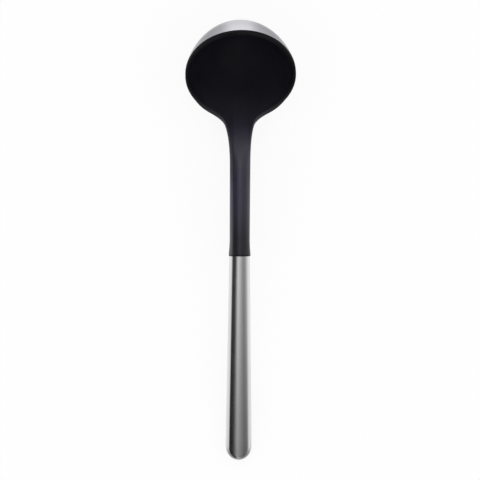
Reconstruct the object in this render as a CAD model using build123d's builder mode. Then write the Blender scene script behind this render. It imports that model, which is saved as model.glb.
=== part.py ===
from build123d import *
import math
import os

# A soup ladle, lying on a table as it would be laid down: it rests on the bottom of its bowl and on the end
# of its handle. +Z is up, +Y runs from the handle to the bowl, and the origin is under the middle of it all.
# Lengths are in millimetres and angles in degrees.

# Bowl
rim_radius = 40.8  # outside of the nylon rim and of the steel right under it
bowl_depth = 46.5  # from the top of the rim to the outside of the steel's bottom
bottom_radius = 33.6  # the round bottom, outside
rim_tilt = 38.0  # between the plane of the rim and the line of the handle

# Steel shell, with its edge stepped in to lie inside the nylon rim
shell_wall = 0.7
edge_step = 0.9  # how far the hidden edge lies inside the rim's outside
edge_height = 2.2  # how far the hidden edge reaches up into the rim
key_count = 18
key_diameter = 1.2

# Nylon liner and rim
liner_wall = 2.0
band_height = 3.6  # the black band that shows over the steel
lip_round = 0.9
mould_gap = 0.05  # between steel and nylon

# Shoulders and root, where the back of the rim rises into the neck
root_width = 21.6
root_height = 8.6  # from the top of the rim to where the neck's own section begins
root_swell = 2.2  # how far the back of the root stands out from the rim
root_reach = 55.0  # how far round from the middle of the root the swelling goes
root_blend = 25.0  # the hollow round between the swelling and the rim
upright_run = 2.0  # straight stretch over the root, before the bend

# Neck
bend_radius = 37.0
neck_width = 15.2
neck_thickness = 8.0
neck_crown = 0.9
neck_corner = 2.7
waist_width = 15.0
waist_thickness = 8.6
waist_crown = 1.1
waist_corner = 3.0
joint_to_rim = 133.2  # from the joint to the middle of the rim, along the handle's line
taper_power = 2.5  # how quickly the shoulders settle into the neck
neck_steps = 6  # sections of the loft round the bend, over the root's own top

# Collar, where the neck flares to cover the mouth of the handle
collar_overhang = 0.45
collar_length = 1.6
flare_length = 10.0
seam = 0.1  # between collar and handle

# Handle, a hollow tube that widens to its round end
handle_length = 154.6
mouth_width = 15.3
mouth_thickness = 9.4
end_width = 19.9
end_thickness = 11.2
handle_crown = 1.5
handle_corner = 3.0
tube_wall = 0.8
end_round = 2.4
plug_lap = 1.5  # how far the plug reaches in past where the round end opens the tube's sides

# Tang, bonded into the mouth of the handle
tang_length = 34.0
tang_gap = 0.4  # left for the adhesive
tang_chamfer = 1.0
crush_rib_width = 1.2
crush_rib_length = 20.0
crush_rib_spacing = 5.0
crush_rib_start = 4.0
bond_fit = 0.04  # between the adhesive and what it holds, and between a crush rib and the tube
bond_inset = 1.0  # how far inside the mouth the adhesive starts and the crush ribs of the tang end

overrun = 2.0  # how far a cut runs past what it cuts

RIGHT_ANGLE = 90.0

# Bowl geometry, in the plane through its axis: radius out from the axis, depth down from the top of the rim.
# The side is one arc. It passes the rim's edge, meets the round bottom without a break, and would stand
# upright at the root's top if it went on over the rim. Its centre's radius solves a quadratic equation.
bottom_centre_depth = bowl_depth - bottom_radius
side_centre_depth = -root_height
edge_rise = band_height - side_centre_depth
centre_rise = bottom_centre_depth - side_centre_depth
square_sum = rim_radius**2 + edge_rise**2 - centre_rise**2 + bottom_radius**2
square_term = rim_radius**2 - bottom_radius**2
linear_term = rim_radius * (2 * bottom_radius**2 - square_sum)
constant_term = square_sum**2 / 4 - bottom_radius**2 * (rim_radius**2 + edge_rise**2)
root_term = math.sqrt(linear_term**2 - 4 * square_term * constant_term)
side_centre_radius = 2 * constant_term / (root_term - linear_term)
side_radius = math.hypot(rim_radius - side_centre_radius, edge_rise)
bottom_angle = math.degrees(math.atan2(-side_centre_radius, centre_rise))
liner_outset = shell_wall + mould_gap
liner_inset = liner_outset + liner_wall


def bowl_radius(depth, inset):
    """Radius at a depth of the surface that lies this far inside the steel's outside."""
    return side_centre_radius + math.sqrt((side_radius - inset) ** 2 - (depth - side_centre_depth) ** 2)


def bowl_curve(inset, top_depth):
    """From the middle of the bottom, up the side of the bowl, to the given depth."""
    side_end = math.degrees(math.asin((top_depth - side_centre_depth) / (side_radius - inset)))
    bottom = JernArc((0, inset - bowl_depth), (1, 0), bottom_radius - inset, bottom_angle)
    side = JernArc(bottom @ 1, bottom % 1, side_radius - inset, RIGHT_ANGLE - bottom_angle - side_end)
    return bottom, side


# Side view, with the joint of neck and handle at its zero: along to the bowl, and up to the ladle's front
tilt = math.radians(rim_tilt)
root_front_radius = bowl_radius(-root_height, liner_inset)
root_thickness = rim_radius + root_swell - root_front_radius
root_path_radius = root_front_radius + root_thickness / 2
bend_start = root_height + upright_run
rim_up = (
    root_path_radius * math.sin(tilt)
    - bend_start * math.cos(tilt)
    - bend_radius * (1 - math.sin(tilt))
)
end_half_thickness = end_thickness / 2

# The table touches the round bottom and the round edge of the handle's end
bottom_along = joint_to_rim + bottom_centre_depth * math.sin(tilt)
bottom_up = rim_up - bottom_centre_depth * math.cos(tilt)
end_along = end_round - handle_length
end_up = end_round - end_half_thickness
span = math.hypot(bottom_along - end_along, bottom_up - end_up)
fall = math.atan2(bottom_up - end_up, bottom_along - end_along)
pitch = math.asin((bottom_radius - end_round) / span) - fall
far_y = bottom_along * math.cos(pitch) - bottom_up * math.sin(pitch) + bottom_radius
near_y = end_along * math.cos(pitch) + end_up * math.sin(pitch) - end_round
low_z = bottom_along * math.sin(pitch) + bottom_up * math.cos(pitch) - bottom_radius
middle_y = (far_y + near_y) / 2


def side_point(along, up):
    """A point of the side view, where it lies over the table."""
    y = along * math.cos(pitch) - up * math.sin(pitch) - middle_y
    z = along * math.sin(pitch) + up * math.cos(pitch) - low_z
    return Vector(0, y, z)


def side_heading(angle):
    """A direction of the side view, turned this far from the line to the bowl."""
    turned = math.radians(angle) + pitch
    return Vector(0, math.cos(turned), math.sin(turned))


ACROSS = Vector(1, 0, 0)
rim_heading = RIGHT_ANGLE + rim_tilt
handle_heading = 2 * RIGHT_ANGLE
rim_centre = side_point(joint_to_rim, rim_up)
rim_normal = side_heading(rim_heading)
bowl_axis = Axis(rim_centre, rim_normal)
rim_plane = Plane(origin=rim_centre, x_dir=ACROSS, z_dir=rim_normal)
profile_plane = Plane(origin=rim_centre, x_dir=ACROSS, z_dir=side_heading(rim_heading + RIGHT_ANGLE))


# Steel shell: one pressed cup of even wall, its edge stepped in under the rim
edge_radius = rim_radius - edge_step
edge_inner_radius = edge_radius - shell_wall
edge_top = band_height - edge_height
step_depth = band_height + mould_gap
step_inner_depth = step_depth + shell_wall
key_depth = (edge_top + band_height) / 2
key_clear_radius = key_diameter / 2 + mould_gap


def key_plane(turn):
    """A plane on the bowl's axis, at the height of the keys, that looks out to one of them."""
    outward = rim_plane.x_dir.rotate(bowl_axis, turn)
    return Plane(origin=rim_centre - rim_normal * key_depth, x_dir=rim_normal, z_dir=outward)


key_turns = [360.0 * (key + 0.5) / key_count for key in range(key_count)]

with BuildPart() as bowl_shell:
    with BuildSketch(profile_plane):
        with BuildLine():
            outer_bottom, outer_side = bowl_curve(0, step_depth)
            inner_bottom, inner_side = bowl_curve(shell_wall, step_inner_depth)
            Polyline(
                outer_side @ 1,
                (edge_radius, -step_depth),
                (edge_radius, -edge_top),
                (edge_inner_radius, -edge_top),
                (edge_inner_radius, -step_inner_depth),
                inner_side @ 1,
            )
            Line(outer_bottom @ 0, inner_bottom @ 0)
        make_face()
    revolve(axis=bowl_axis)
    for turn in key_turns:
        with BuildSketch(key_plane(turn)):
            Circle(key_clear_radius)
        extrude(amount=rim_radius, mode=Mode.SUBTRACT)
bowl_shell.part.label = "bowl_shell"


# Sections across the neck and the handle: a crowned oval, drawn with its width along X and its front upwards
def oval_outline(half_width, half_thickness, front_crown, back_crown, corner):
    """An oval with a crowned or, with a crown under zero, hollowed front and back, and round corners."""
    front_edge = half_thickness - front_crown
    back_edge = half_thickness - back_crown
    with BuildSketch() as outline:
        with BuildLine():
            ThreePointArc((-half_width, front_edge), (0, half_thickness), (half_width, front_edge))
            Line((half_width, front_edge), (half_width, -back_edge))
            ThreePointArc((half_width, -back_edge), (0, -half_thickness), (-half_width, -back_edge))
            Line((-half_width, -back_edge), (-half_width, front_edge))
        make_face()
        fillet(outline.vertices(), corner)
    return outline.sketch


def sagitta(half_chord, radius):
    """How far an arc of this radius rises over a chord."""
    return radius - math.sqrt(radius**2 - half_chord**2)


# Root outline, seen along the bowl's axis: the rim's circle, swollen on the handle's side
reach = math.radians(root_reach)
swollen_radius = rim_radius + root_swell
swell_offset = swollen_radius - rim_radius * math.cos(reach)
swell_centre = root_swell * (rim_radius + swollen_radius) / (2 * swell_offset)
swell_radius = swollen_radius - swell_centre
root_half_width = root_width / 2

# The neck settles from the root's shape into its own along the bend
neck_half_width = neck_width / 2
bend_length = bend_radius * math.radians(RIGHT_ANGLE - rim_tilt)
settle_length = upright_run + bend_length
shoulder_lean = math.atan(taper_power * (root_half_width - neck_half_width) / settle_length)
shoulder_radius = root_height / (1 - math.sin(shoulder_lean))
shoulder_foot = root_half_width + shoulder_radius * math.cos(shoulder_lean)


def settled(share):
    """How far the section has changed from the root's to the neck's, smoothly, at a share of the way."""
    return share * share * (3 - 2 * share)


def neck_section(run):
    """The section at a distance along the neck's middle line, from the root's top to the end of the bend."""
    bent = max(0.0, run - upright_run)
    turn = bent / bend_radius
    heading = rim_heading + math.degrees(turn)
    along = joint_to_rim - root_path_radius * math.cos(tilt)
    up = rim_up - root_path_radius * math.sin(tilt)
    straight = root_height + min(run, upright_run)
    along -= straight * math.sin(tilt) + bend_radius * (math.cos(tilt) - math.cos(tilt + turn))
    up += straight * math.cos(tilt) + bend_radius * (math.sin(tilt + turn) - math.sin(tilt))
    share = run / settle_length
    blend = settled(share)
    half_width = neck_half_width + (root_half_width - neck_half_width) * (1 - share) ** taper_power
    front = (1 - blend) * -sagitta(half_width, root_front_radius) + blend * neck_crown
    back = (1 - blend) * sagitta(half_width, swell_radius) + blend * neck_crown
    thickness = root_thickness + (neck_thickness - root_thickness) * blend
    corner = lip_round + (neck_corner - lip_round) * blend
    plane = Plane(origin=side_point(along, up), x_dir=ACROSS, z_dir=side_heading(heading))
    return plane, half_width, thickness / 2, front, back, corner


def cross_plane(along):
    """A plane across the handle's line, which looks to the handle's end."""
    return Plane(origin=side_point(along, 0), x_dir=ACROSS, z_dir=side_heading(handle_heading))


def handle_outline(along, inset):
    """The handle's section at a place along it, or that of a surface this far inside."""
    grown = -along / handle_length
    half_width = (mouth_width + (end_width - mouth_width) * grown) / 2 - inset
    half_thickness = (mouth_thickness + (end_thickness - mouth_thickness) * grown) / 2 - inset
    return oval_outline(half_width, half_thickness, handle_crown, handle_crown, handle_corner - inset)


def crowned_outline(width, thickness, crown, corner):
    """A section that is alike at the front and the back."""
    return oval_outline(width / 2, thickness / 2, crown, crown, corner)


# The neck ends at a waist, and flares from there to the collar
waist_along = collar_length + flare_length
collar_start = collar_length + seam
collar_width = mouth_width + 2 * collar_overhang
collar_thickness = mouth_thickness + 2 * collar_overhang
flare_share = 0.3  # of the flare that is done half-way
waist_outline = crowned_outline(waist_width, waist_thickness, waist_crown, waist_corner)
collar_corner = handle_corner + collar_overhang
collar_outline = crowned_outline(collar_width, collar_thickness, handle_crown, collar_corner)
flare_outline = crowned_outline(
    waist_width + (collar_width - waist_width) * flare_share,
    waist_thickness + (collar_thickness - waist_thickness) * flare_share,
    waist_crown + (handle_crown - waist_crown) * flare_share,
    waist_corner,
)
tang_inset = tube_wall + tang_gap

# The handle's end, seen from the front: a half circle as wide as the tube is at its middle
end_growth = (end_width - mouth_width) / 2 / handle_length
end_radius = end_width / 2 / (1 + end_growth)
end_centre_along = end_radius - handle_length
end_opening = math.sqrt(end_radius**2 - (end_radius - tube_wall) ** 2)
end_axis = Axis(side_point(end_centre_along, 0), side_heading(RIGHT_ANGLE))
lengthwise_plane = Plane(origin=side_point(0, 0), x_dir=ACROSS, z_dir=side_heading(RIGHT_ANGLE))


# Nylon head: liner, rim, shoulders, neck, collar and tang in one moulding
groove_inner_radius = edge_inner_radius - mould_gap
groove_outer_radius = edge_radius + mould_gap
groove_top = edge_top - mould_gap
liner_step_depth = step_inner_depth + mould_gap
liner_wide = rim_radius + root_swell + overrun


def rim_outline():
    """The outside of the rim with its swollen root, seen along the bowl's axis."""
    blend_far = rim_radius + root_blend
    blend_turn = math.acos(
        (blend_far**2 + swell_centre**2 - (swell_radius + root_blend) ** 2) / (2 * swell_centre * blend_far)
    )
    blend_centre = Vector(math.sin(blend_turn), -math.cos(blend_turn)) * blend_far
    middle = Vector(0, -swell_centre)
    rim_touch = blend_centre.normalized() * rim_radius
    swell_touch = middle + (blend_centre - middle).normalized() * swell_radius
    inwards = ((rim_touch + swell_touch) / 2 - blend_centre).normalized()
    with BuildSketch() as outline:
        with BuildLine():
            ThreePointArc((0, rim_radius), (rim_radius, 0), rim_touch)
            ThreePointArc(rim_touch, blend_centre + inwards * root_blend, swell_touch)
            RadiusArc(swell_touch, (0, -swollen_radius), swell_radius)
            mirror(about=Plane.YZ)
        make_face()
    return outline.sketch


with BuildPart() as nylon_head:
    with BuildSketch(rim_plane.offset(-band_height)):
        add(rim_outline())
    extrude(amount=band_height)
    with BuildSketch(rim_plane):
        add(rim_outline())
        with Locations((0, -liner_wide / 2)):
            Rectangle(2 * shoulder_foot, liner_wide, mode=Mode.INTERSECT)
    extrude(amount=root_height)

    with BuildSketch(profile_plane):
        with BuildLine():
            liner_bottom, liner_side = bowl_curve(liner_outset, liner_step_depth)
            Polyline(
                liner_side @ 1,
                (groove_inner_radius, -liner_step_depth),
                (groove_inner_radius, -groove_top),
                (0, -groove_top),
                liner_bottom @ 0,
            )
        make_face()
    revolve(axis=bowl_axis)
    with BuildSketch(profile_plane):
        with BuildLine():
            Polyline(
                (groove_inner_radius, -groove_top),
                (groove_outer_radius, -groove_top),
                (groove_outer_radius, -step_depth),
                (groove_inner_radius, -step_depth),
                close=True,
            )
        make_face()
    revolve(axis=bowl_axis, mode=Mode.SUBTRACT)
    with BuildSketch(profile_plane):
        with BuildLine():
            inside_bottom, inside_side = bowl_curve(liner_inset, -root_height)
            Polyline(
                inside_side @ 1,
                (root_front_radius, root_height + overrun),
                (0, root_height + overrun),
                inside_bottom @ 0,
            )
        make_face()
    revolve(axis=bowl_axis, mode=Mode.SUBTRACT)

    with BuildSketch(profile_plane):
        with BuildLine():
            shoulder_turn = math.degrees(shoulder_lean) - RIGHT_ANGLE
            shoulder = JernArc((shoulder_foot, 0), (-1, 0), shoulder_radius, shoulder_turn)
            Polyline(
                shoulder @ 1,
                (root_half_width, root_height + overrun),
                (liner_wide, root_height + overrun),
                (liner_wide, 0),
                (shoulder_foot, 0),
            )
        make_face()
        mirror(about=Plane.YZ)
    extrude(amount=liner_wide, both=True, mode=Mode.SUBTRACT)

    # The swollen root slopes in to the steel under it
    with BuildSketch(profile_plane):
        with BuildLine():
            Polyline(
                (rim_radius, -band_height),
                (rim_radius + band_height, -band_height),
                (rim_radius + band_height, 0),
                close=True,
            )
        make_face()
    revolve(axis=bowl_axis, mode=Mode.SUBTRACT)

    def over_rim(edge):
        """Height of an edge's middle over the top of the rim."""
        return (edge.center() - rim_centre).dot(rim_normal)

    curved_edges = nylon_head.edges().filter_by(GeomType.LINE, reverse=True)
    lip_edges = curved_edges.filter_by(lambda edge: -mould_gap < over_rim(edge) < root_height - mould_gap)
    fillet(lip_edges, lip_round)

    # Keys of nylon, moulded through the holes in the steel's hidden edge
    for turn in key_turns:
        with BuildSketch(key_plane(turn).offset(groove_inner_radius - mould_gap)):
            Circle(key_diameter / 2)
        extrude(amount=groove_outer_radius - groove_inner_radius + 2 * mould_gap)

    # Neck: one loft up from the root's flat top and round the bend, and an almost even stretch to the waist
    add(nylon_head.faces().sort_by(bowl_axis)[-1])
    for step in range(neck_steps):
        plane, *sizes = neck_section(settle_length * (step + 1) / neck_steps)
        with BuildSketch(plane):
            add(oval_outline(*sizes))
    loft()
    with BuildSketch(plane):
        add(oval_outline(*sizes))
    with BuildSketch(cross_plane(waist_along)):
        add(waist_outline)
    loft(ruled=True)

    # Collar: the flare to the joint, and the flat land that covers the tube's mouth
    with BuildSketch(cross_plane(waist_along)):
        add(waist_outline)
    with BuildSketch(cross_plane((waist_along + collar_start) / 2)):
        add(flare_outline)
    with BuildSketch(cross_plane(collar_start)):
        add(collar_outline)
    loft()
    with BuildSketch(cross_plane(collar_start)):
        add(collar_outline)
    extrude(amount=collar_length)

    # Tang: a stub that goes into the tube, with crush ribs that centre it there
    with BuildSketch(cross_plane(seam)):
        add(handle_outline(0, tang_inset))
    extrude(amount=seam + tang_length)
    tang_end = nylon_head.faces().sort_by(Axis(side_point(0, 0), side_heading(handle_heading)))[-1]
    chamfer(tang_end.edges(), tang_chamfer)
    with BuildSketch(cross_plane(-crush_rib_start)):
        for side in (-1, 1):
            with Locations((side * crush_rib_spacing / 2, 0)):
                Rectangle(crush_rib_width, mouth_thickness)
        add(handle_outline(0, tube_wall + bond_fit), mode=Mode.INTERSECT)
    extrude(amount=crush_rib_length)
nylon_head.part.label = "nylon_head"


# Handle: one outside form for the tube and the plug that closes its end
with BuildPart() as end_limit:
    with BuildSketch(cross_plane(end_centre_along)) as end_half:
        Rectangle(end_radius, end_thickness, align=(Align.MIN, Align.CENTER))
        fillet(end_half.vertices().group_by(Axis.X)[-1], end_round)
    revolve(axis=end_axis)
    with BuildSketch(lengthwise_plane):
        with Locations((0, end_centre_along / 2)):
            Rectangle(end_width + overrun, -end_centre_along)
    extrude(amount=end_thickness, both=True)

with BuildPart() as handle_form:
    for along in (0, -handle_length):
        with BuildSketch(cross_plane(along)):
            add(handle_outline(along, 0))
    loft(ruled=True)
    add(end_limit.part, mode=Mode.INTERSECT)

with BuildPart() as handle_bore:
    for along in (overrun, -handle_length - overrun):
        with BuildSketch(cross_plane(along)):
            add(handle_outline(along, tube_wall))
    loft(ruled=True)

with BuildPart() as handle_tube:
    add(handle_form.part)
    add(handle_bore.part, mode=Mode.SUBTRACT)
handle_tube.part.label = "handle_tube"

with BuildPart() as handle_end_plug:
    add(handle_form.part)
    add(handle_bore.part, mode=Mode.INTERSECT)
    split(bisect_by=cross_plane(end_centre_along - end_opening + plug_lap), keep=Keep.TOP)
handle_end_plug.part.label = "handle_end_plug"


# Adhesive: what fills the mouth of the tube round the tang
with BuildPart() as tang_bond:
    for along in (-bond_inset, bond_inset - tang_length):
        with BuildSketch(cross_plane(along)):
            add(handle_outline(along, tube_wall + bond_fit))
    loft(ruled=True)
    with BuildSketch(cross_plane(0)):
        add(handle_outline(0, tang_inset - bond_fit))
    extrude(amount=tang_length, mode=Mode.SUBTRACT)
    with BuildSketch(cross_plane(-crush_rib_start + bond_fit)):
        for side in (-1, 1):
            with Locations((side * crush_rib_spacing / 2, 0)):
                Rectangle(crush_rib_width + 2 * bond_fit, mouth_thickness)
    extrude(amount=crush_rib_length + 2 * bond_fit, mode=Mode.SUBTRACT)
tang_bond.part.label = "tang_bond"


os.makedirs("parts", exist_ok=True)
for piece in (bowl_shell, nylon_head, handle_tube, handle_end_plug, tang_bond):
    print(piece.part.label, piece.part.is_valid, len(piece.solids()), piece.part.volume)
    export_step(piece.part, f"parts/{piece.part.label}.step")
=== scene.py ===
import math

import bmesh
import bpy
from mathutils import Matrix, Vector


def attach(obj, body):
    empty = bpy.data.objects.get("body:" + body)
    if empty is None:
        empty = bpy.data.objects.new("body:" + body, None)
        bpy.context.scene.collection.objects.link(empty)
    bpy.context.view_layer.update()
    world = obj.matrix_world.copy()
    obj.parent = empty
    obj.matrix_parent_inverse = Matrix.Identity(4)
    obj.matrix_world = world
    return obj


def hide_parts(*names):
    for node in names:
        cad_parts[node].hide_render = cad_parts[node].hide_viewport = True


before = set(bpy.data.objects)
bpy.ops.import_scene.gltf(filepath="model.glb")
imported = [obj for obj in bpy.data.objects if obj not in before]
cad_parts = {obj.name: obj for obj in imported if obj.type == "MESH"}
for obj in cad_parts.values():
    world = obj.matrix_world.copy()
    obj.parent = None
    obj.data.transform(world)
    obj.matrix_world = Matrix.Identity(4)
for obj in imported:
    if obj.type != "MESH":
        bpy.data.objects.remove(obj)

bl_info = {
    "name": "Soup ladle dressing",
    "version": (1, 0, 0),
    "blender": (4, 5, 0),
    "location": "3D View > Sidebar > Ladle",
    "description": "Gives a modelled soup ladle a smooth steel handle and its finishes, on a studio table",
    "category": "Object",
}


class Wire:
    """A socket of a node tree that can be used in sums."""

    def __init__(self, nodes, socket):
        self.nodes = nodes
        self.socket = socket

    def __add__(self, other):
        return self.nodes.maths("ADD", self, other)

    __radd__ = __add__

    def __sub__(self, other):
        return self.nodes.maths("SUBTRACT", self, other)

    def __rsub__(self, other):
        return self.nodes.maths("SUBTRACT", other, self)

    def __mul__(self, other):
        return self.nodes.maths("MULTIPLY", self, other)

    __rmul__ = __mul__

    def __truediv__(self, other):
        return self.nodes.maths("DIVIDE", self, other)

    def ramp(self, low, high, start=0.0, end=1.0):
        """Goes smoothly from start to end while this value goes from low to high."""
        settings = {"interpolation_type": "SMOOTHSTEP"}
        values = {"Value": self, "From Min": low, "From Max": high, "To Min": start, "To Max": end}
        return self.nodes.add("ShaderNodeMapRange", settings, **values)

    def within(self, rise, fall):
        """Goes from 0 to 1 over the first stretch and back to 0 over the second."""
        return self.ramp(*rise) * self.ramp(*fall)


class Nodes:
    """Makes the nodes of one material or world."""

    def __init__(self, tree):
        self.tree = tree
        tree.nodes.clear()

    def add(self, kind, settings=None, *values, output=0, **named):
        """Makes a node, sets it up, gives its sockets their values or links, and returns an output."""
        node = self.tree.nodes.new(kind)
        for name, setting in (settings or {}).items():
            if name == "stops":
                self.stops(node.color_ramp, setting)
            else:
                setattr(node, name, setting)
        for place, value in list(enumerate(values)) + list(named.items()):
            self.join(node.inputs[place], value)
        return Wire(self, node.outputs[output]) if node.outputs else None

    def maths(self, operation, *values):
        return self.add("ShaderNodeMath", {"operation": operation}, *values)

    def split(self, vector):
        """The three numbers of a vector."""
        parts = self.add("ShaderNodeSeparateXYZ", None, vector).socket.node
        return [Wire(self, output) for output in parts.outputs]

    def join(self, socket, value):
        if isinstance(value, Wire):
            self.tree.links.new(value.socket, socket)
        else:
            socket.default_value = value

    @staticmethod
    def stops(ramp, stops):
        while len(ramp.elements) < len(stops):
            ramp.elements.new(0.5)
        for element, (position, shade) in zip(ramp.elements, stops):
            element.position = position
            element.color = (shade, shade, shade, 1.0)

    def place(self, location=(0.0, 0.0, 0.0), rotation=(0.0, 0.0, 0.0), scale=(1.0, 1.0, 1.0)):
        """Object coordinates seen from a pattern's own place, turned and stretched with it."""
        coordinates = self.add("ShaderNodeTexCoord", output="Object")
        settings = {"vector_type": "TEXTURE"}
        turned = self.add(
            "ShaderNodeMapping", settings, Vector=coordinates, Location=location, Rotation=rotation
        )
        return self.add("ShaderNodeVectorMath", {"operation": "MULTIPLY"}, turned, scale)

    def noise(self, vector, scale, detail=2.0, roughness=0.5):
        settings = {"Vector": vector, "Scale": scale, "Detail": detail, "Roughness": roughness}
        return self.add("ShaderNodeTexNoise", None, **settings)

    def blend(self, factor, first, second):
        """From the first colour to the second."""
        values = {"Factor": factor, "A": first, "B": second}
        return self.add("ShaderNodeMix", {"data_type": "RGBA"}, output=2, **values)

    def scaled(self, colour, factor):
        """A colour made brighter or darker."""
        return self.add("ShaderNodeVectorMath", {"operation": "SCALE"}, colour, Scale=factor)

    def shades(self, angle, stops, low, high):
        """The grey shade at an angle in radians, from stops in degrees between low and high."""
        places = [((turn - low) / (high - low), shade) for turn, shade in stops]
        share = (angle - math.radians(low)) / math.radians(high - low)
        return self.add("ShaderNodeValToRGB", {"stops": places}, share)

    def bump(self, height, strength, distance, **named):
        values = {"Height": height, "Strength": strength, "Distance": distance, **named}
        return self.add("ShaderNodeBump", None, **values)

    def finish(self, colour, roughness, **named):
        """A surface from its colour, its roughness and the values of other sockets."""
        values = {"Base Color": colour, "Roughness": roughness, **named}
        return self.add("ShaderNodeBsdfPrincipled", None, **values)

    def mixed(self, factor, first, second):
        """From the first surface to the second."""
        return self.add("ShaderNodeMixShader", None, factor, first, second)


# Where the ladle's own lines run, in metres
HANDLE_PITCH = math.radians(6.932)  # the handle's line, up from the table
RIM_TILT = math.radians(44.93)  # the rim's plane, up from the table
RIM_CENTRE = Vector((0.0, 0.1215, 0.0427))
JOINT = Vector((0.0, -0.01037, 0.02395))

# How finely the handle is divided
CROWN_STEPS = 14
CORNER_STEPS = 10
SIDE_STEPS = 3
END_STEPS = 56
LONG_CUTS = 23
CLOSE = 1e-7  # within this, points are one

# Patterns, in waves for a metre, and bumps, as their strength and their height in metres
GRAIN_STRETCH = 0.012  # the handle's grain along the handle, as a share of its fineness across
HANDLE_STREAKS = 420.0
SPUN_LINES = 5000.0
SPUN_BANDS = 500.0
NYLON_GRAIN = 2600.0
NYLON_CLOUDS = 60.0
RESIN_CLOUDS = 300.0
FINE = {"detail": 3.0, "roughness": 0.6}
STEEL_BUMP = (0.10, 0.00002)
NYLON_BUMP = (0.12, 0.00003)
FULL_BUMP = (1.0, 1.0)  # for a height that is already in metres
STREAK_SHADE = 0.96  # how much of the steel's colour its darker streaks keep

# Between which values of a pattern its effect comes in
PATTERN_RANGE = (0.3, 0.7)
GRAIN_RANGE = (0.2, 0.8)
LINER_RANGE = (0.35, 0.65)
WORN_RANGE = (0.35, 0.6)

# Roughnesses, each from the smoothest to the roughest, and how strongly the nylon shines
HANDLE_ROUGHNESS = (0.12, 0.19)
BOWL_ROUGHNESS = (0.22, 0.30)
NECK_ROUGHNESS = (0.24, 0.28)
ROOT_ROUGHER = 0.35  # by which the neck's root is rougher than the rest of it
LINER_ROUGHNESS = (0.45, 0.52)
BAND_ROUGHNESS = (0.52, 0.60)
RESIN_ROUGHNESS = (0.3, 0.5)
NECK_SHINE = 0.95
LINER_SHINE = 0.16
BAND_SHINE = 0.07

# Stretches along the ladle over which the nylon changes, in metres, each from its start to its end
COLLAR_LIP = (JOINT.y + 0.0002, JOINT.y + 0.0012)
COLLAR_RUN = (JOINT.y + 0.038, JOINT.y)
# Where the painted highlight on the neck's sides fades out from the joint
PAINTED_HIGHLIGHT_RUN = (0.040, 0.0)
# Where the neck's painted shade fades out from the collar, and comes back towards the root
PAINTED_SHADE_FADE = (-0.018, 0.030)
PAINTED_SHADE_RETURN = (0.118, 0.082)
BEND_START = (0.034, 0.056)
BEND_END = (0.098, 0.074)
ROOT_RUN = (0.054, 0.085)
CROWNED_RUN = (0.085, 0.055)
SATIN_RUN = (0.122, 0.080)

# The same across the neck, out from the bowl's axis and up from the rim's plane
NECK_SIDE = (0.0050, 0.0074)
NECK_EDGE = (0.0046, 0.0060)
LINER_EDGE = (0.0370, 0.0390)
LIP_OUT = (0.0394, 0.0399)
LIP_UP = (-0.0012, -0.0004)
CROWN_OFFSET = 0.0007  # of the shading's middle to the right of the neck's
CROWN_RADIUS = 0.0465  # of the roundness that the shading adds to the neck's front

# How much of the satin the neck keeps at the collar's lip, and loses on the collar and at its edges, where
# the loss to darker, dull nylon is painted shade, more on the left
LIP_SATIN = 0.5
COLLAR_LOSS = 0.42
LEFT_EDGE_PAINTED_SHADE = 0.45
RIGHT_EDGE_PAINTED_SHADE = 0.28
PAINTED_SHADE_PAST_BEND = 0.4  # of the loss at its edges, what is left past the bend

# Lesser colours of the nylon, the adhesive and the table
# A painted shade: the darker, less blue colour of the neck towards the collar and the root
PAINTED_SHADE_NYLON = (0.0080, 0.0072, 0.0105, 1.0)
# A painted highlight: the lighter colour of the neck's sides near the joint
PAINTED_HIGHLIGHT_NYLON = (0.040, 0.038, 0.043, 1.0)
DARK_LINER = (0.0082, 0.0075, 0.0128, 1.0)
WORN_LIP = (0.0085, 0.0080, 0.0096, 1.0)
DARK_RESIN = (0.55, 0.48, 0.33, 1.0)
PALE_RESIN = (0.66, 0.60, 0.46, 1.0)
WHITE = (1.0, 1.0, 1.0, 1.0)
PALE = (0.96, 0.96, 0.96, 1.0)

# The studio that shiny surfaces show: shades of the walls by the angle from straight ahead, either side,
# and of the ceiling by the angle from straight up, to the right
WALLS = [
    (0, 0.99), (10, 0.97), (20, 0.60), (30, 0.52), (40, 0.53), (54, 0.66), (72, 0.95), (96, 1.0),
    (104, 0.80), (116, 0.62), (130, 0.35), (150, 0.30), (180, 0.35),
]
CEILING = [
    (-180, 1.0), (-75, 0.92), (-55, 0.78), (-38, 0.62), (-29, 0.01), (-15, 0.0), (-5, 0.92), (3, 0.64),
    (14, 0.31), (21, 0.26), (28, 0.44), (37, 0.72), (55, 0.82), (75, 0.92), (180, 1.0),
]
CEILING_START = (0.2, 0.5)  # upward share of a direction
# Forward shares of a direction, between which the handle's end shows the ceiling
END_FROM = (-0.20, -0.36)
END_TO = (-0.80, -0.45)
# Angles from straight up, in radians, of what is moved and dimmed there
MOVED_FROM = (-0.42, -0.30)
MOVED_TO = (0.10, -0.05)
MOVED_BY = 0.06
DIMMED_FROM = (-0.70, -0.55)
DIMMED_TO = (0.58, 0.44)
END_DIMMING = 0.12
MIDDLE_DIMMING = 0.55
CEILING_LIFT = 0.03  # of the ceiling's shades everywhere else
# The dark corners behind the handle's end, by a direction's shares sideways and forward
CORNER_SIDEWAYS = (0.22, 0.42)
CORNER_BACK = (-0.28, -0.48)
CORNER_DIMMING = 0.65

# The table top, in metres
FADE_RUN = (0.4, 1.6)  # from the middle, where it goes over into white
FADE_START = 0.85  # the share of white before that
GLOSSY_SHARE = 0.5  # of the white, in what shiny surfaces show of the table
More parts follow.
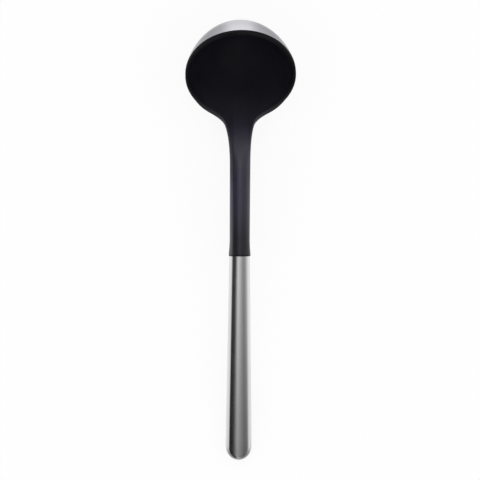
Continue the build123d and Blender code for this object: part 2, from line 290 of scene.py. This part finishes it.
# Where shiny surfaces show the studio carried on over the table instead
BESIDE_BOWL = (0.03, 0.08)  # from the middle of the rim
PAST_MIDDLE = (-0.04, 0.02)  # forward from there
PAST_END = (-0.162, -0.176)  # the same from the ladle's middle
NEAR_RUN = (0.05, 0.15)  # from the middle of the rim, where it gets as bright as the studio
NEAR_SHADE = 0.73  # of the studio's brightness, at the start of that

# The camera, as worked out from the photograph
VIEW_ROLL = math.radians(2.14)  # to the ladle's left
VIEW_TURN = math.radians(-0.054)
VIEW_HEIGHT = 0.020  # of the point that it looks at
VIEW_RIGHT = 0.00043
VIEW_UP = 0.00136
FOCAL_PIXELS = 1872.5
IMAGE_PIXELS = 480.0
SENSOR_WIDTH = 36.0  # in millimetres
VIEW_END = 20.0


class LadleFinish(bpy.types.PropertyGroup):
    steel: bpy.props.FloatVectorProperty(
        name="Steel", description="Colour of the handle's steel", subtype="COLOR", size=4,
        default=(0.80, 0.80, 0.81, 1.0),
    )
    nylon: bpy.props.FloatVectorProperty(
        name="Nylon", description="Colour of the neck's nylon", subtype="COLOR", size=4,
        default=(0.0158, 0.0136, 0.0330, 1.0),
    )
    liner: bpy.props.FloatVectorProperty(
        name="Liner", description="Colour of the nylon inside the bowl", subtype="COLOR", size=4,
        default=(0.0096, 0.0088, 0.0148, 1.0),
    )
    band: bpy.props.FloatVectorProperty(
        name="Band", description="Colour of the nylon at the rim", subtype="COLOR", size=4,
        default=(0.0044, 0.0041, 0.0054, 1.0),
    )
    bowl: bpy.props.FloatVectorProperty(
        name="Bowl", description="Colour of the bowl's satin steel", subtype="COLOR", size=4,
        default=(0.75, 0.74, 0.79, 1.0),
    )
    grain: bpy.props.FloatProperty(
        name="Grain", description="Width of one line of the handle's grain", default=0.0003, unit="LENGTH"
    )


class LadleHandle(bpy.types.PropertyGroup):
    length: bpy.props.FloatProperty(
        name="Length", description="From the joint with the neck to the end", default=0.1546, unit="LENGTH"
    )
    mouth_width: bpy.props.FloatProperty(
        name="Mouth width", description="Across the tube at the joint", default=0.0153, unit="LENGTH"
    )
    mouth_thickness: bpy.props.FloatProperty(
        name="Mouth thickness", description="Through the tube at the joint", default=0.0094,
        unit="LENGTH",
    )
    end_width: bpy.props.FloatProperty(
        name="End width", description="Across the tube, if it ended square", default=0.0199, unit="LENGTH"
    )
    end_thickness: bpy.props.FloatProperty(
        name="End thickness", description="Through the tube at its end", default=0.0112, unit="LENGTH"
    )
    crown: bpy.props.FloatProperty(
        name="Crown", description="How far the front and the back bulge", default=0.0015, unit="LENGTH"
    )
    mouth_corner: bpy.props.FloatProperty(
        name="Mouth corner", description="Radius of the long edges at the joint", default=0.0030,
        unit="LENGTH",
    )
    end_corner: bpy.props.FloatProperty(
        name="End corner", description="Radius of the edges at the end", default=0.0036, unit="LENGTH"
    )
    tip_corner: bpy.props.FloatProperty(
        name="Tip corner", description="Radius of the edge at the very tip", default=0.0032, unit="LENGTH"
    )
    wall: bpy.props.FloatProperty(
        name="Wall", description="Thickness of the tube's sheet", default=0.0008, unit="LENGTH"
    )


class LadleStage(bpy.types.PropertyGroup):
    camera_distance: bpy.props.FloatProperty(
        name="Camera distance", description="From the camera to the ladle's middle", default=1.4,
        unit="LENGTH",
    )
    floor_size: bpy.props.FloatProperty(
        name="Floor size", description="Width of the table top", default=8.0, unit="LENGTH"
    )


def surface(name, tree_maker):
    """A material whose nodes the given function makes."""
    material = bpy.data.materials.new(name)
    material.use_nodes = True
    nodes = Nodes(material.node_tree)
    nodes.add("ShaderNodeOutputMaterial", None, Surface=tree_maker(nodes))
    return material


def dress(node, material):
    """Puts one material on a modelled piece, whose mesh stays as it is."""
    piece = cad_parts[node]
    piece.data.materials.clear()
    piece.data.materials.append(material)


def right_line(shape, along):
    """The edges and points of the section's right half at a place along the tube."""
    line = [
        edge for edge in shape.edges
        if all(abs(vert.co.y - along) < CLOSE and vert.co.x > -CLOSE for vert in edge.verts)
    ]
    return line, list({vert for edge in line for vert in edge.verts})


def half_section(shape, along, half_width, half_thickness, crown, corner):
    """Half of the tube's section: crowned front, round corner and side, and the same at the back."""
    crown_radius = (half_width**2 + crown**2) / (2 * crown)
    crown_middle = Vector((0.0, along, half_thickness - crown_radius))
    turn = math.asin((half_width - corner) / (crown_radius - corner))
    corner_middle = crown_middle + Vector((math.sin(turn), 0.0, math.cos(turn))) * (crown_radius - corner)
    last = [shape.verts.new((0.0, along, half_thickness))]
    for middle, angle, steps in (
        (crown_middle, turn, CROWN_STEPS), (corner_middle, math.pi / 2 - turn, CORNER_STEPS)
    ):
        made = bmesh.ops.spin(shape, geom=last, cent=middle, axis=(0.0, 1.0, 0.0), angle=angle, steps=steps)
        last = [part for part in made["geom_last"] if isinstance(part, bmesh.types.BMVert)]
    for _ in range(SIDE_STEPS):
        made = bmesh.ops.extrude_vert_indiv(shape, verts=last)
        last = made["verts"]
        bmesh.ops.translate(shape, verts=last, vec=(0.0, 0.0, -corner_middle.z / SIDE_STEPS))
    line, points = right_line(shape, along)
    bmesh.ops.mirror(shape, geom=points + line, matrix=Matrix(), merge_dist=CLOSE, axis="Z")
    return right_line(shape, along)[0]


def square_up(shape, middle, radius, half_thickness, sizes):
    """Keeps a spun end's front and back straight along the tube, and its edge tighter at the tip."""
    crown_radius = (radius**2 + sizes.crown**2) / (2 * sizes.crown)
    corner = sizes.end_corner
    touch = crown_radius * (radius - corner) / (crown_radius - corner)  # where crown and corner meet

    def crown_height(across):
        return half_thickness - crown_radius + math.sqrt(crown_radius**2 - across**2)

    corner_rise = math.sqrt((crown_radius - corner) ** 2 - (radius - corner) ** 2)
    side_height = half_thickness - crown_radius + corner_rise
    side_depth = crown_height(radius) - side_height
    for vert in shape.verts:
        past = middle - vert.co.y
        out = math.hypot(vert.co.x, past)
        if past < CLOSE or out < CLOSE:
            continue
        tight = 1 - (past / out) ** 2 * (1 - sizes.tip_corner / corner)
        depth = crown_height(min(out, radius)) - abs(vert.co.z)
        new_touch = radius - (radius - touch) * tight
        new_out = out * new_touch / touch if out < touch else radius - (radius - out) * tight
        vert.co.x *= new_out / out
        vert.co.y = middle - past * new_out / out
        if depth > side_depth + CLOSE:
            vert.co.z *= (crown_height(vert.co.x) - side_depth * tight) / side_height
        else:
            vert.co.z = math.copysign(crown_height(vert.co.x) - depth * tight, vert.co.z)


def steel_tube(sizes):
    """The handle's tube along Y from the joint: two sections bridged, the last spun into a round end."""
    shape = bmesh.new()
    growth = (sizes.end_width - sizes.mouth_width) / 2 / sizes.length
    end_radius = sizes.end_width / 2 / (1 + growth)
    end_middle = end_radius - sizes.length
    share = -end_middle / sizes.length
    end_half = (sizes.mouth_thickness + (sizes.end_thickness - sizes.mouth_thickness) * share) / 2
    mouth = half_section(
        shape, 0.0, sizes.mouth_width / 2, sizes.mouth_thickness / 2, sizes.crown, sizes.mouth_corner
    )
    end = half_section(shape, end_middle, end_radius, end_half, sizes.crown, sizes.end_corner)
    bmesh.ops.bridge_loops(shape, edges=mouth + end)
    long_edges = [edge for edge in shape.edges if abs(edge.verts[0].co.y - edge.verts[1].co.y) > CLOSE]
    bmesh.ops.subdivide_edges(shape, edges=long_edges, cuts=LONG_CUTS, use_grid_fill=True)
    half = shape.verts[:] + shape.edges[:] + shape.faces[:]
    bmesh.ops.mirror(shape, geom=half, matrix=Matrix(), merge_dist=CLOSE, axis="X")
    line, points = right_line(shape, end_middle)
    bmesh.ops.spin(
        shape, geom=points + line, cent=(0.0, end_middle, 0.0), axis=(0.0, 0.0, -1.0), angle=math.pi,
        steps=END_STEPS,
    )
    bmesh.ops.remove_doubles(shape, verts=shape.verts[:], dist=CLOSE * 10)
    square_up(shape, end_middle, end_radius, end_half, sizes)
    bmesh.ops.recalc_face_normals(shape, faces=shape.faces[:])
    for edge in shape.edges:
        edge.smooth = not edge.is_boundary
    return shape


def piece_of(name, shape, material):
    """An object of a finished shape, smooth all over."""
    mesh = bpy.data.meshes.new(name)
    for face in shape.faces:
        face.smooth = True
    shape.to_mesh(mesh)
    shape.free()
    mesh.materials.append(material)
    piece = bpy.data.objects.new(name, mesh)
    bpy.context.scene.collection.objects.link(piece)
    return piece


def brushed(nodes, colour, fine, streaks, roughness):
    """Steel whose fine lines catch the light, a little darker in broad streaks."""
    darker = [STREAK_SHADE * value for value in colour[:3]] + [1.0]
    shade = nodes.blend(streaks.ramp(*PATTERN_RANGE), darker, colour)
    bump = nodes.bump(fine, *STEEL_BUMP)
    return nodes.finish(shade, fine.ramp(*GRAIN_RANGE, *roughness), Metallic=1.0, Normal=bump)


def handle_steel(nodes):
    """Polished steel with a fine grain along the handle."""
    finish = bpy.context.scene.ladle_finish
    stretch = (1.0, GRAIN_STRETCH, 1.0)
    along = nodes.place(rotation=(HANDLE_PITCH, 0.0, 0.0), location=JOINT, scale=stretch)
    fine = nodes.noise(along, 1.0 / finish.grain, **FINE)
    streaks = nodes.noise(along, HANDLE_STREAKS)
    return brushed(nodes, finish.steel, fine, streaks, HANDLE_ROUGHNESS)


def bowl_steel(nodes):
    """Satin steel, spun round the bowl's axis."""
    finish = bpy.context.scene.ladle_finish
    spun = nodes.place(rotation=(RIM_TILT, 0.0, 0.0), location=RIM_CENTRE)
    rings = nodes.add("ShaderNodeCombineXYZ", None, 0.0, 0.0, nodes.split(spun)[2])
    fine = nodes.noise(rings, SPUN_LINES, **FINE)
    streaks = nodes.noise(rings, SPUN_BANDS)
    return brushed(nodes, finish.bowl, fine, streaks, BOWL_ROUGHNESS)


def nylon(nodes, colour, roughness, shine, bump):
    """Nylon of a colour and a roughness, that shines more or less."""
    return nodes.finish(colour, roughness, Normal=bump, **{"Specular IOR Level": shine})


def neck_satin(nodes, across, lengthwise, side, cloud, bump):
    """The neck's satin nylon, bluer in the middle and darker towards collar and root as painted shade, with
    a painted highlight on its sides near the joint and a rounder front.
    """
    finish = bpy.context.scene.ladle_finish
    crown = across * across * lengthwise.ramp(*CROWNED_RUN) / (-2 * CROWN_RADIUS)
    crowned = nodes.bump(crown, *FULL_BUMP, Normal=bump)
    # painted shade: the neck is darker and less blue towards the collar and the root
    before_highlight = nodes.blend(lengthwise.within(PAINTED_SHADE_FADE, PAINTED_SHADE_RETURN), PAINTED_SHADE_NYLON, finish.nylon)
    # painted highlight: the neck's sides turn lighter near the joint
    colour = nodes.blend(side * lengthwise.ramp(*PAINTED_HIGHLIGHT_RUN), before_highlight, PAINTED_HIGHLIGHT_NYLON)
    rougher = ROOT_ROUGHER * lengthwise.ramp(*ROOT_RUN)
    roughness = cloud.ramp(*PATTERN_RANGE, *NECK_ROUGHNESS) + rougher
    return nylon(nodes, colour, roughness, NECK_SHINE, crowned)


def bowl_dull(nodes, cloud, bump):
    """The dull nylon inside the bowl, and the duller band and worn lip of the rim."""
    finish = bpy.context.scene.ladle_finish
    across, along, over = nodes.split(nodes.place(rotation=(RIM_TILT, 0.0, 0.0), location=RIM_CENTRE))
    out = nodes.maths("SQRT", across * across + along * along)
    inside = nodes.blend(cloud.ramp(*LINER_RANGE), DARK_LINER, finish.liner)
    liner = nylon(nodes, inside, cloud.ramp(*PATTERN_RANGE, *LINER_ROUGHNESS), LINER_SHINE, bump)
    worn = out.ramp(*LIP_OUT) * over.ramp(*LIP_UP) * cloud.ramp(*WORN_RANGE)
    rim = nodes.blend(worn, finish.band, WORN_LIP)
    band = nylon(nodes, rim, cloud.ramp(*PATTERN_RANGE, *BAND_ROUGHNESS), BAND_SHINE, bump)
    return nodes.mixed(out.ramp(*LINER_EDGE), liner, band)


def black_nylon(nodes):
    """Moulded nylon, dull in the bowl and satin on the neck, duller on the collar, and with painted shade
    along the neck's edges around the bend.
    """
    plain = nodes.place()
    middle, lengthwise, _ = nodes.split(plain)
    across = middle - CROWN_OFFSET
    cloud = nodes.noise(plain, NYLON_CLOUDS, detail=3.0)
    bump = nodes.bump(nodes.noise(plain, NYLON_GRAIN, **FINE), *NYLON_BUMP)
    side = (across * across).ramp(NECK_SIDE[0] ** 2, NECK_SIDE[1] ** 2)
    satin = neck_satin(nodes, across, lengthwise, side, cloud, bump)
    dull = bowl_dull(nodes, cloud, bump)

    lip = lengthwise.ramp(*COLLAR_LIP, LIP_SATIN, 1.0)
    collar = 1 - lengthwise.ramp(*COLLAR_RUN, 0.0, COLLAR_LOSS) * (1 - side)
    # painted shade: the neck's edges turn into darker, dull nylon, more on the left
    left = LEFT_EDGE_PAINTED_SHADE * across.ramp(-NECK_EDGE[0], -NECK_EDGE[1])
    edges = left + RIGHT_EDGE_PAINTED_SHADE * across.ramp(*NECK_EDGE)
    bend = 1 - lengthwise.ramp(*BEND_START) * lengthwise.ramp(*BEND_END, PAINTED_SHADE_PAST_BEND, 1.0) * edges
    return nodes.mixed(lengthwise.ramp(*SATIN_RUN) * lip * collar * bend, dull, satin)


def clear_resin(nodes):
    """Cured adhesive, hidden in the handle."""
    cloud = nodes.noise(nodes.place(), RESIN_CLOUDS)
    return nodes.finish(nodes.blend(cloud, DARK_RESIN, PALE_RESIN), cloud.ramp(0.0, 1.0, *RESIN_ROUGHNESS))


class LADLE_OT_handle(bpy.types.Operator):
    """Make the steel handle in place of the modelled tube and plug, and finish the adhesive in it"""

    bl_idname = "ladle.handle"
    bl_label = "Handle"

    def execute(self, context):
        sizes = context.scene.ladle_handle
        shape = steel_tube(sizes)
        shape.transform(Matrix.Translation(JOINT) @ Matrix.Rotation(HANDLE_PITCH, 4, "X"))
        handle = piece_of("steel_handle", shape, surface("handle steel", handle_steel))
        sheet = handle.modifiers.new("sheet", "SOLIDIFY")
        sheet.thickness = sizes.wall
        sheet.offset = -1.0
        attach(handle, "root")
        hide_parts("handle_tube", "handle_end_plug")
        dress("tang_bond", surface("cured adhesive", clear_resin))
        return {"FINISHED"}


class LADLE_OT_head(bpy.types.Operator):
    """Finish the nylon head: bowl liner, rim, neck and collar"""

    bl_idname = "ladle.head"
    bl_label = "Nylon head"

    def execute(self, context):
        dress("nylon_head", surface("black nylon", black_nylon))
        return {"FINISHED"}


class LADLE_OT_bowl(bpy.types.Operator):
    """Finish the steel outside of the bowl"""

    bl_idname = "ladle.bowl"
    bl_label = "Steel bowl"

    def execute(self, context):
        dress("bowl_shell", surface("bowl steel", bowl_steel))
        return {"FINISHED"}


def horizon(nodes, across, ahead):
    """The studio near the ground: a white board ahead, dark gaps beside it, white walls and a dark back."""
    turn = nodes.maths("ABSOLUTE", nodes.maths("ARCTAN2", across, ahead))
    return nodes.shades(turn, WALLS, 0, 180)


def studio_world(nodes):
    """White, but to shiny surfaces a studio of pale walls, a dark ceiling and a long light."""
    across, ahead, height = nodes.split(nodes.add("ShaderNodeTexCoord", output="Object"))
    lean = nodes.maths("ARCTAN2", across, height)
    end = ahead.within(END_FROM, END_TO)
    moved = MOVED_BY * end * lean.within(MOVED_FROM, MOVED_TO)
    lights = nodes.shades(lean - moved, CEILING, -180, 180) + CEILING_LIFT * (1 - end)
    dimming = end * (END_DIMMING + MIDDLE_DIMMING * lean.within(DIMMED_FROM, DIMMED_TO))
    sideways = nodes.maths("ABSOLUTE", across)
    in_corner = sideways.ramp(*CORNER_SIDEWAYS) * ahead.ramp(*CORNER_BACK)
    ceiling = nodes.scaled(lights, (1 - dimming) * (1 - CORNER_DIMMING * in_corner))
    studio = nodes.blend(height.ramp(*CEILING_START), horizon(nodes, across, ahead), ceiling)
    shiny = nodes.add("ShaderNodeLightPath", output="Is Glossy Ray")
    return nodes.add("ShaderNodeBackground", None, nodes.blend(shiny, WHITE, studio), 1.0)


def table_top(nodes):
    """A pale table top that keeps the ladle's shadow, goes over into white, and carries the studio on."""
    place = nodes.place()
    across, ahead, _ = nodes.split(place)
    distance = nodes.add("ShaderNodeVectorMath", {"operation": "LENGTH"}, place, output="Value")
    seen = nodes.add("ShaderNodeLightPath", output="Is Camera Ray")
    shiny = nodes.add("ShaderNodeLightPath", output="Is Glossy Ray")
    pale = nodes.add("ShaderNodeBsdfDiffuse", None, PALE)
    white = nodes.add("ShaderNodeEmission", None, WHITE, 1.0)
    whiteness = (seen + GLOSSY_SHARE * shiny) * distance.ramp(*FADE_RUN, FADE_START, 1.0)
    lit = nodes.mixed(whiteness, pale, white)
    from_bowl = ahead - RIM_CENTRE.y
    away = nodes.maths("SQRT", across * across + from_bowl * from_bowl)
    shades = nodes.scaled(horizon(nodes, across, from_bowl), away.ramp(*NEAR_RUN, NEAR_SHADE, 1.0))
    walls = nodes.add("ShaderNodeEmission", None, shades, 1.0)
    carried_on = away.ramp(*BESIDE_BOWL) * from_bowl.ramp(*PAST_MIDDLE) + ahead.ramp(*PAST_END)
    return nodes.mixed(shiny * carried_on, lit, walls)


class LADLE_OT_stage(bpy.types.Operator):
    """Set up the table top, the light and the camera over the ladle"""

    bl_idname = "ladle.stage"
    bl_label = "Stage"

    def execute(self, context):
        stage = context.scene.ladle_stage
        shape = bmesh.new()
        bmesh.ops.create_grid(shape, x_segments=1, y_segments=1, size=stage.floor_size / 2)
        mesh = bpy.data.meshes.new("table top")
        shape.to_mesh(mesh)
        shape.free()
        floor = bpy.data.objects.new("table_top", mesh)
        context.scene.collection.objects.link(floor)
        mesh.materials.append(surface("table top", table_top))

        world = bpy.data.worlds.new("studio")
        world.use_nodes = True
        nodes = Nodes(world.node_tree)
        nodes.add("ShaderNodeOutputWorld", None, Surface=studio_world(nodes))
        context.scene.world = world

        roll = Matrix.Rotation(-VIEW_ROLL, 3, "Y")
        turn = Matrix.Rotation(-VIEW_TURN, 3, "Z")
        axes = roll @ turn
        right, up, back = axes.col
        focus = Vector((0.0, 0.0, VIEW_HEIGHT)) + right * VIEW_RIGHT + up * VIEW_UP
        lens = bpy.data.cameras.new("overhead camera")
        lens.sensor_width = SENSOR_WIDTH
        lens.lens = SENSOR_WIDTH * FOCAL_PIXELS / IMAGE_PIXELS
        lens.clip_end = VIEW_END
        camera = bpy.data.objects.new("overhead_camera", lens)
        camera.matrix_world = Matrix.Translation(focus + back * stage.camera_distance) @ axes.to_4x4()
        context.scene.collection.objects.link(camera)
        context.scene.camera = camera
        context.scene.view_settings.view_transform = "Standard"
        return {"FINISHED"}


class LADLE_PT_panel(bpy.types.Panel):
    bl_idname = "LADLE_PT_panel"
    bl_label = "Soup ladle"
    bl_space_type = "VIEW_3D"
    bl_region_type = "UI"
    bl_category = "Ladle"

    def draw(self, context):
        for group in (context.scene.ladle_handle, context.scene.ladle_finish, context.scene.ladle_stage):
            for name in group.bl_rna.properties.keys():
                if name not in ("rna_type", "name"):
                    self.layout.prop(group, name)
        for step in OPERATORS:
            self.layout.operator(step.bl_idname)


OPERATORS = (LADLE_OT_handle, LADLE_OT_head, LADLE_OT_bowl, LADLE_OT_stage)
CLASSES = (LadleHandle, LadleFinish, LadleStage) + OPERATORS + (LADLE_PT_panel,)


def register():
    for kind in CLASSES:
        bpy.utils.register_class(kind)
    bpy.types.Scene.ladle_handle = bpy.props.PointerProperty(type=LadleHandle)
    bpy.types.Scene.ladle_finish = bpy.props.PointerProperty(type=LadleFinish)
    bpy.types.Scene.ladle_stage = bpy.props.PointerProperty(type=LadleStage)


def unregister():
    del bpy.types.Scene.ladle_stage
    del bpy.types.Scene.ladle_finish
    del bpy.types.Scene.ladle_handle
    for kind in reversed(CLASSES):
        bpy.utils.unregister_class(kind)


def main():
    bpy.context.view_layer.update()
    register()
    bpy.ops.ladle.handle()
    bpy.ops.ladle.head()
    bpy.ops.ladle.bowl()
    bpy.ops.ladle.stage()


if __name__ == "__main__":
    main()
